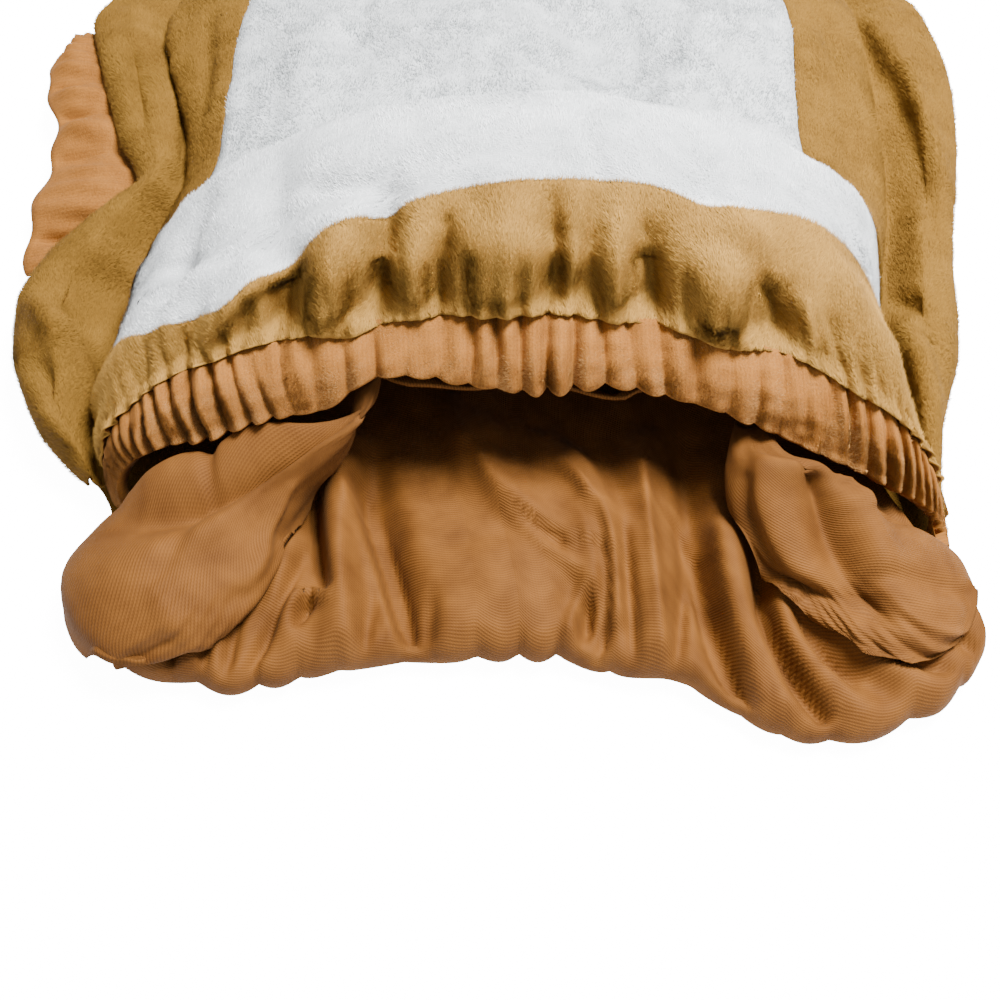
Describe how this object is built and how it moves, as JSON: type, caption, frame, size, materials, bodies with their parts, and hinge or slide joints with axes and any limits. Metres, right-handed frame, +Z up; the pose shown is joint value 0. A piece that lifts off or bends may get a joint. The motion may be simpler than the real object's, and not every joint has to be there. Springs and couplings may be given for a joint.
{
  "type": "lion costume",
  "caption": "Sleeveless plush lion vest for a baby, laid on its back, with a white belly, gathered brown bands and a brown lining spilling from the hem.",
  "frame": {"origin": "the flat underside of the back panel, under the middle of the vest", "axes": "+X to the picture's right, +Y from the hem to the neck, +Z up from the table"},
  "size_m": [0.2828, 0.2992, 0.09],
  "materials": {
    "gold_plush": "short golden plush pile",
    "white_plush": "short white plush pile",
    "brown_velour": "brushed orange-brown velour",
    "brown_tricot": "ribbed brown lining knit"
  },
  "bodies": {
    "root": {"front_belly": "white_plush", "front_lower": "gold_plush", "front_side_left": "gold_plush", "front_side_right": "gold_plush", "back_panel": "gold_plush", "hem_casing_front": "brown_velour", "hem_casing_back": "brown_velour", "lining_back": "brown_tricot", "lining_pouch_left": "brown_tricot", "lining_pouch_right": "brown_tricot", "lining_front": "brown_tricot", "armhole_band_left_front": "brown_velour", "armhole_band_left_back": "brown_velour", "armhole_band_right_front": "brown_velour", "armhole_band_right_back": "brown_velour", "neck_band_front": "brown_velour", "neck_band_back": "brown_velour"}
  },
  "joints": []
}
